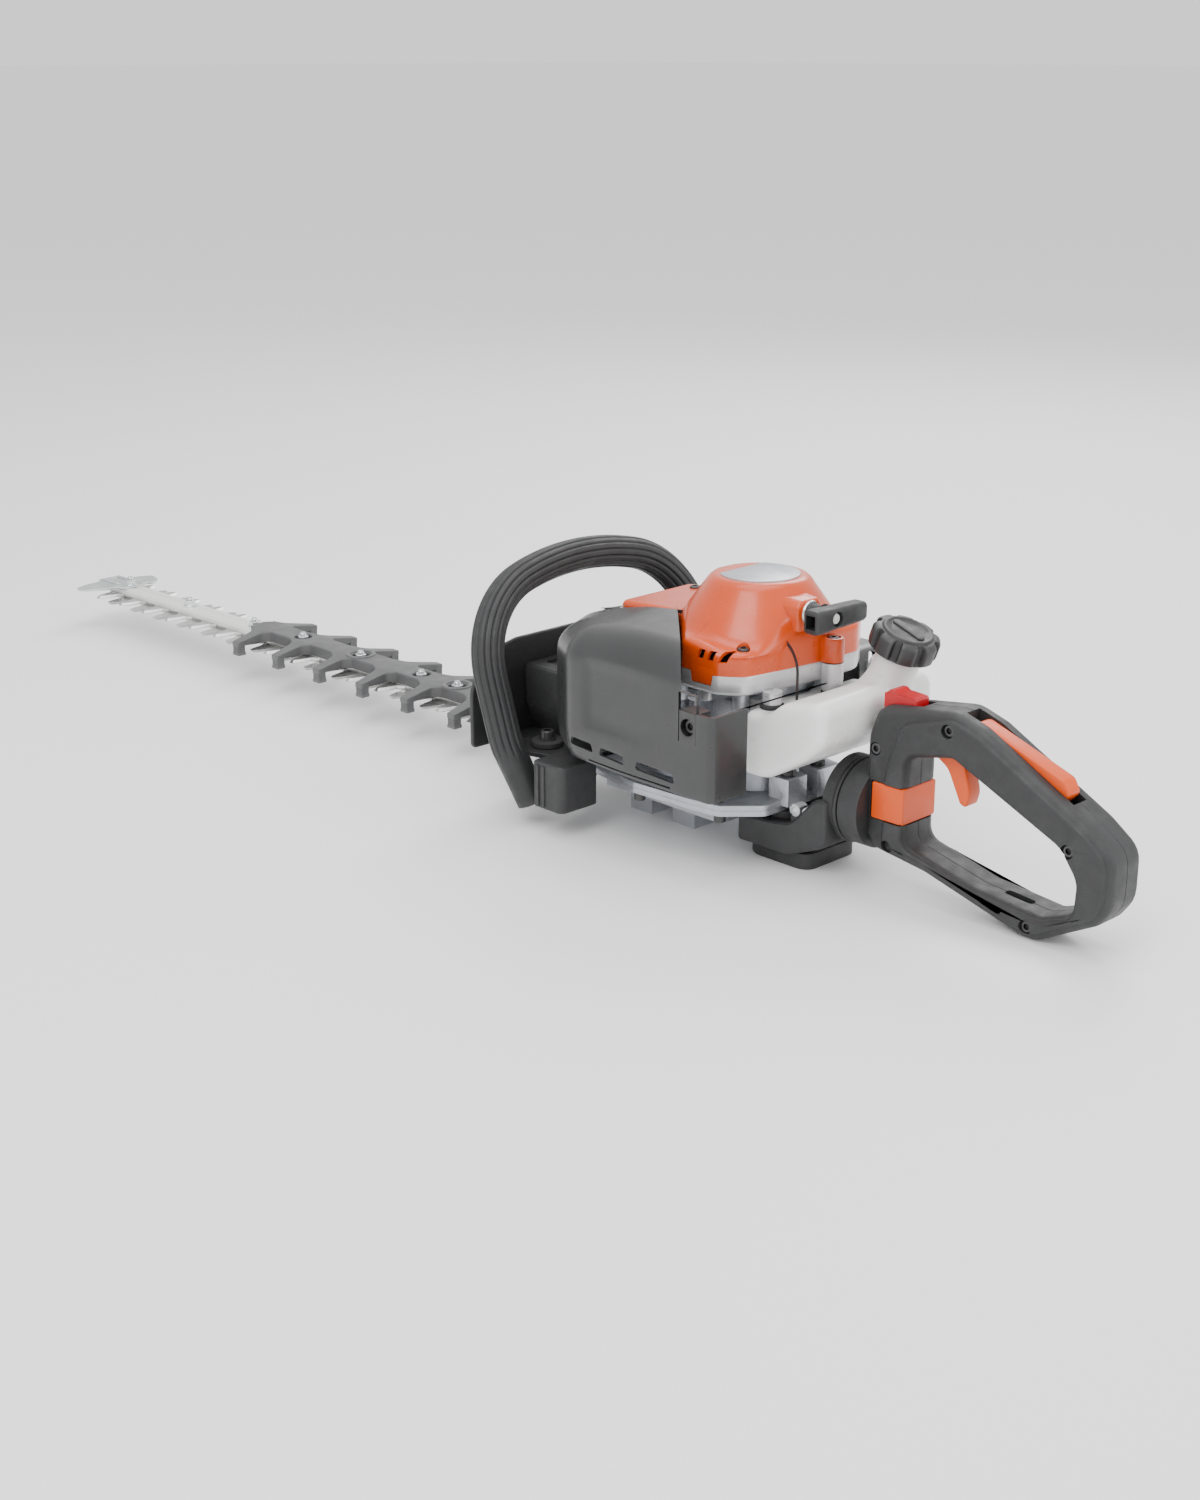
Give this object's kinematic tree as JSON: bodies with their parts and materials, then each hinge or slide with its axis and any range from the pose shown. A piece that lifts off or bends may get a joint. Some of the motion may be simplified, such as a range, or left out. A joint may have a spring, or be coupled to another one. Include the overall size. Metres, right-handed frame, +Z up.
{
  "type": "petrol hedge trimmer",
  "caption": "Double-sided petrol hedge trimmer with a finger-guarded blade, front bow handle, orange engine cover and a turning rear handle.",
  "frame": {"origin": "on the ground under the middle of the machine's length and width", "axes": "+Z up, +X from the blade tip to the rear handle, -Y the exhaust side"},
  "size_m": [1.183, 0.245, 0.198],
  "materials": {
    "steel": "ground, bright",
    "zinc": "zinc plated",
    "rail": "satin",
    "black_bolt": "black oxide",
    "cast": "die cast",
    "dark_steel": "machined",
    "charcoal": "fine textured",
    "cover_grey": "semi-gloss",
    "orange": "semi-gloss",
    "bright_orange": "semi-gloss",
    "red": "semi-gloss",
    "silver": "silver paint",
    "tank": "milky, translucent",
    "black": "moulded",
    "rubber": "matt",
    "badge": "satin grey",
    "foam": "open-cell foam",
    "ceramic": "glazed",
    "rope": "braided",
    "clear": "clear moulding"
  },
  "bodies": {
    "engine_unit": {"air_box": "charcoal", "air_box_cover": "cover_grey", "air_filter": "foam", "av_bolts": "black_bolt", "av_bushes": "rubber", "badge_plate": "badge", "cable_clip": "clear", "carburettor": "cast", "case_bolts": "black_bolt", "cover_screws": "black_bolt", "crankcase": "cast", "cylinder": "cast", "fan_housing": "silver", "finger_guard": "charcoal", "front_handle": "charcoal", "fuel_tank": "tank", "gear_case": "cast", "gear_case_cover": "cast", "gear_shaft": "dark_steel", "guide_rail": "rail", "hand_guard": "charcoal", "ignition_coil": "black", "intake_boot": "rubber", "main_bearings": "steel", "muffler": "dark_steel", "muffler_cover": "cover_grey", "plug_cap": "rubber", "rail_bolts": "zinc", "rail_nuts": "zinc", "rear_arm": "charcoal", "spark_plug": "ceramic", "starter_cover": "orange", "tank_pads": "rubber", "tip_plate": "zinc"},
    "upper_blade": {"upper_blade": "steel"},
    "lower_blade": {"lower_blade": "steel"},
    "drive_gear": {"drive_gear": "dark_steel"},
    "clutch_drum": {"clutch_drum": "dark_steel"},
    "crank": {"crankshaft": "dark_steel", "clutch_shoes": "dark_steel", "flywheel": "cast"},
    "piston": {"piston": "cast"},
    "connecting_rod": {"connecting_rod": "dark_steel"},
    "starter_pulley": {"starter_pulley": "black"},
    "starter_grip": {"starter_grip": "charcoal", "starter_rope": "rope"},
    "fuel_cap": {"fuel_cap": "black", "cap_seal": "rubber"},
    "choke_lever": {"choke_lever": "bright_orange"},
    "primer_bulb": {"primer_bulb": "clear"},
    "rear_handle": {"rear_handle_left": "charcoal", "rear_handle_right": "charcoal", "handle_screws": "black_bolt", "lever_pins": "steel"},
    "throttle_trigger": {"throttle_trigger": "bright_orange"},
    "lockout_lever": {"lockout_lever": "bright_orange"},
    "stop_switch": {"stop_switch": "red"},
    "swivel_latch": {"swivel_latch": "bright_orange"}
  },
  "joints": [
    {"name": "upper_blade_stroke", "type": "slide", "parent": "engine_unit", "child": "upper_blade", "axis": [1, 0, 0], "range_m": [-0.01, 0.01]},
    {"name": "lower_blade_stroke", "type": "slide", "parent": "engine_unit", "child": "lower_blade", "axis": [1, 0, 0], "range_m": [-0.01, 0.01]},
    {"name": "crank_spin", "type": "hinge", "parent": "engine_unit", "child": "crank", "pos_m": [0.2815, 0, 0.0975], "axis": [0, 0, 1], "continuous": true},
    {"name": "clutch_drum_spin", "type": "hinge", "parent": "engine_unit", "child": "clutch_drum", "pos_m": [0.2815, 0, 0.06], "axis": [0, 0, 1], "continuous": true},
    {"name": "drive_gear_spin", "type": "hinge", "parent": "engine_unit", "child": "drive_gear", "pos_m": [0.2315, 0, 0.046], "axis": [0, 0, 1], "continuous": true},
    {"name": "piston_stroke", "type": "slide", "parent": "engine_unit", "child": "piston", "axis": [1, 0, 0], "range_m": [0, 0.027]},
    {"name": "rod_swing", "type": "hinge", "parent": "piston", "child": "connecting_rod", "pos_m": [0.212, 0, 0.0975], "axis": [0, 0, 1], "range_deg": [-14, 14]},
    {"name": "starter_pull", "type": "slide", "parent": "engine_unit", "child": "starter_grip", "axis": [1, 0, 0], "range_m": [0, 0.7], "stiffness_N_per_m": 8},
    {"name": "starter_pulley_spin", "type": "hinge", "parent": "engine_unit", "child": "starter_pulley", "pos_m": [0.2815, 0, 0.161], "axis": [0, 0, 1], "range_deg": [0, 2006]},
    {"name": "fuel_cap_turn", "type": "hinge", "parent": "engine_unit", "child": "fuel_cap", "pos_m": [0.38742, 0.026, 0.15525], "axis": [0.342, 0, 0.9397], "range_deg": [0, 360]},
    {"name": "choke_turn", "type": "hinge", "parent": "engine_unit", "child": "choke_lever", "pos_m": [0.3217, 0.09, 0.084], "axis": [1, 0, 0], "range_deg": [-75, 0]},
    {"name": "primer_press", "type": "slide", "parent": "engine_unit", "child": "primer_bulb", "axis": [-1, 0, 0], "range_m": [0, 0.005], "stiffness_N_per_m": 400, "springref_m": -0.001},
    {"name": "rear_handle_turn", "type": "hinge", "parent": "engine_unit", "child": "rear_handle", "pos_m": [0.3815, 0, 0.054], "axis": [1, 0, 0], "range_deg": [-90, 90]},
    {"name": "trigger_squeeze", "type": "hinge", "parent": "rear_handle", "child": "throttle_trigger", "pos_m": [0.4465, 0, 0.113], "axis": [0, -1, 0], "range_deg": [0, 15], "stiffness_Nm_per_rad": 0.4, "springref_deg": -8.59},
    {"name": "lockout_press", "type": "hinge", "parent": "rear_handle", "child": "lockout_lever", "pos_m": [0.4775, 0, 0.124], "axis": [0, 1, 0], "range_deg": [0, 5], "stiffness_Nm_per_rad": 0.6, "springref_deg": -5.73},
    {"name": "stop_switch_slide", "type": "slide", "parent": "rear_handle", "child": "stop_switch", "axis": [1, 0, 0], "range_m": [0, 0.003]},
    {"name": "latch_pull", "type": "slide", "parent": "rear_handle", "child": "swivel_latch", "axis": [1, 0, 0], "range_m": [0, 0.006], "stiffness_N_per_m": 600, "springref_m": -0.003}
  ],
  "couplings": [
    {"joint": "lower_blade_stroke", "follows": "upper_blade_stroke", "ratio": -1},
    {"joint": "clutch_drum_spin", "follows": "crank_spin", "ratio": 1},
    {"joint": "drive_gear_spin", "follows": "crank_spin", "ratio": -0.25},
    {"joint": "starter_pulley_spin", "follows": "starter_pull", "rad_per_m": 50}
  ]
}
